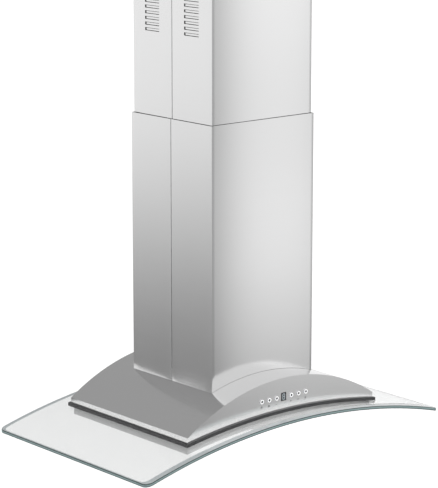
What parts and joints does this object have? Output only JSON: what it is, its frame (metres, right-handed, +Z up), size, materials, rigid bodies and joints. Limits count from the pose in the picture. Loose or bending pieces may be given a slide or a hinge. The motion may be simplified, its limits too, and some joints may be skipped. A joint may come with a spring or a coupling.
{
  "type": "island range hood",
  "caption": "Ceiling-hung island range hood: telescoping square chimney, arched steel body with push-button controls and a bent glass canopy over hinged baffle filters.",
  "frame": {"origin": "centre of the ceiling bracket, in the plane of the ceiling", "axes": "+X along the width of the hood to the right as seen from the controls, -Y towards the side with the controls, +Z up; the hood hangs below the origin"},
  "size_m": [0.9, 0.552, 1.1384],
  "materials": {
    "brushed_stainless": "vertical or crosswise brushed grain, satin",
    "zinc_steel": "galvanised sheet, dull",
    "clear_glass": "clear tempered glass with polished green edges",
    "dark_rubber": "matt black seal",
    "chrome": "bright chrome",
    "black_plastic": "glossy black",
    "nylon": "matt nylon",
    "circuit_board": "solder-resist green",
    "display_light": "pale light bars",
    "lamp_diffuser": "frosted diffuser",
    "motor_casting": "cast motor end shells",
    "white_plastic": "white can"
  },
  "bodies": {
    "ceiling_mount": {"ceiling_bracket": "zinc_steel", "upper_rail_front_left": "zinc_steel", "upper_rail_front_right": "zinc_steel", "upper_rail_rear_left": "zinc_steel", "upper_rail_rear_right": "zinc_steel", "upper_brace": "zinc_steel", "mount_screws": "chrome", "upper_chimney_front": "brushed_stainless", "upper_chimney_rear": "brushed_stainless", "upper_seam_strips": "brushed_stainless"},
    "canopy": {"lower_rail_front_left": "zinc_steel", "lower_rail_front_right": "zinc_steel", "lower_rail_rear_left": "zinc_steel", "lower_rail_rear_right": "zinc_steel", "frame_lock_bolts": "chrome", "fan_box": "zinc_steel", "scroll_housing": "zinc_steel", "inlet_ring_left": "zinc_steel", "inlet_ring_right": "zinc_steel", "motor": "motor_casting", "motor_bracket": "zinc_steel", "run_capacitor": "white_plastic", "outlet_transition": "zinc_steel", "duct_collar": "zinc_steel", "damper_spindle": "chrome", "junction_box": "zinc_steel", "cable_gland": "nylon", "hood_body": "brushed_stainless", "body_band": "dark_rubber", "glass_canopy": "clear_glass", "glass_bushings": "dark_rubber", "glass_bolts": "chrome", "tray_seal": "dark_rubber", "under_tray": "brushed_stainless", "lamp_housings": "brushed_stainless", "lamp_lenses": "lamp_diffuser", "control_board": "circuit_board", "display_module": "display_light", "display_window": "black_plastic", "button_bezels": "brushed_stainless", "control_icons": "black_plastic"},
    "fan": {"fan_wheel": "zinc_steel", "motor_shaft": "chrome"},
    "damper_front": {"damper_flap_front": "zinc_steel"},
    "damper_rear": {"damper_flap_rear": "zinc_steel"},
    "filter_l": {"filter_left": "brushed_stainless", "filter_baffles_left": "brushed_stainless"},
    "filter_r": {"filter_right": "brushed_stainless", "filter_baffles_right": "brushed_stainless"},
    "latch_l": {"filter_latch_left": "zinc_steel"},
    "latch_r": {"filter_latch_right": "zinc_steel"},
    "lower_chimney": {"lower_chimney_front": "brushed_stainless", "lower_chimney_rear": "brushed_stainless", "lower_seam_strips": "brushed_stainless"},
    "button_1": {"button_1": "chrome"},
    "button_2": {"button_2": "chrome"},
    "button_3": {"button_3": "chrome"},
    "button_4": {"button_4": "chrome"},
    "button_5": {"button_5": "chrome"},
    "button_6": {"button_6": "chrome"}
  },
  "joints": [
    {"name": "height_adjustment", "type": "slide", "parent": "ceiling_mount", "child": "canopy", "axis": [0, 0, 1], "range_m": [0, 0.1]},
    {"name": "cover_slide", "type": "slide", "parent": "canopy", "child": "lower_chimney", "axis": [0, 0, 1], "range_m": [0, 0.25]},
    {"name": "fan_spin", "type": "hinge", "parent": "canopy", "child": "fan", "pos_m": [0, -0.03, -0.89], "axis": [1, 0, 0], "continuous": true},
    {"name": "damper_front_hinge", "type": "hinge", "parent": "canopy", "child": "damper_front", "pos_m": [0, 0, -0.714], "axis": [-1, 0, 0], "range_deg": [0, 75]},
    {"name": "damper_rear_hinge", "type": "hinge", "parent": "canopy", "child": "damper_rear", "pos_m": [0, 0, -0.714], "axis": [1, 0, 0], "range_deg": [0, 75]},
    {"name": "filter_hinge_left", "type": "hinge", "parent": "canopy", "child": "filter_l", "pos_m": [-0.13502, 0.155, -1.09065], "axis": [0.9965, 0, 0.0836], "range_deg": [0, 80]},
    {"name": "latch_slide_left", "type": "slide", "parent": "filter_l", "child": "latch_l", "axis": [0, 1, 0], "range_m": [0, 0.004], "stiffness_N_per_m": 300},
    {"name": "filter_hinge_right", "type": "hinge", "parent": "canopy", "child": "filter_r", "pos_m": [0.13502, 0.155, -1.09065], "axis": [0.9965, 0, -0.0836], "range_deg": [0, 80]},
    {"name": "latch_slide_right", "type": "slide", "parent": "filter_r", "child": "latch_r", "axis": [0, 1, 0], "range_m": [0, 0.004], "stiffness_N_per_m": 300},
    {"name": "button_press_1", "type": "slide", "parent": "canopy", "child": "button_1", "axis": [0, 1, 0], "range_m": [0, 0.0015], "stiffness_N_per_m": 250},
    {"name": "button_press_2", "type": "slide", "parent": "canopy", "child": "button_2", "axis": [0, 1, 0], "range_m": [0, 0.0015], "stiffness_N_per_m": 250},
    {"name": "button_press_3", "type": "slide", "parent": "canopy", "child": "button_3", "axis": [0, 1, 0], "range_m": [0, 0.0015], "stiffness_N_per_m": 250},
    {"name": "button_press_4", "type": "slide", "parent": "canopy", "child": "button_4", "axis": [0, 1, 0], "range_m": [0, 0.0015], "stiffness_N_per_m": 250},
    {"name": "button_press_5", "type": "slide", "parent": "canopy", "child": "button_5", "axis": [0, 1, 0], "range_m": [0, 0.0015], "stiffness_N_per_m": 250},
    {"name": "button_press_6", "type": "slide", "parent": "canopy", "child": "button_6", "axis": [0, 1, 0], "range_m": [0, 0.0015], "stiffness_N_per_m": 250}
  ]
}
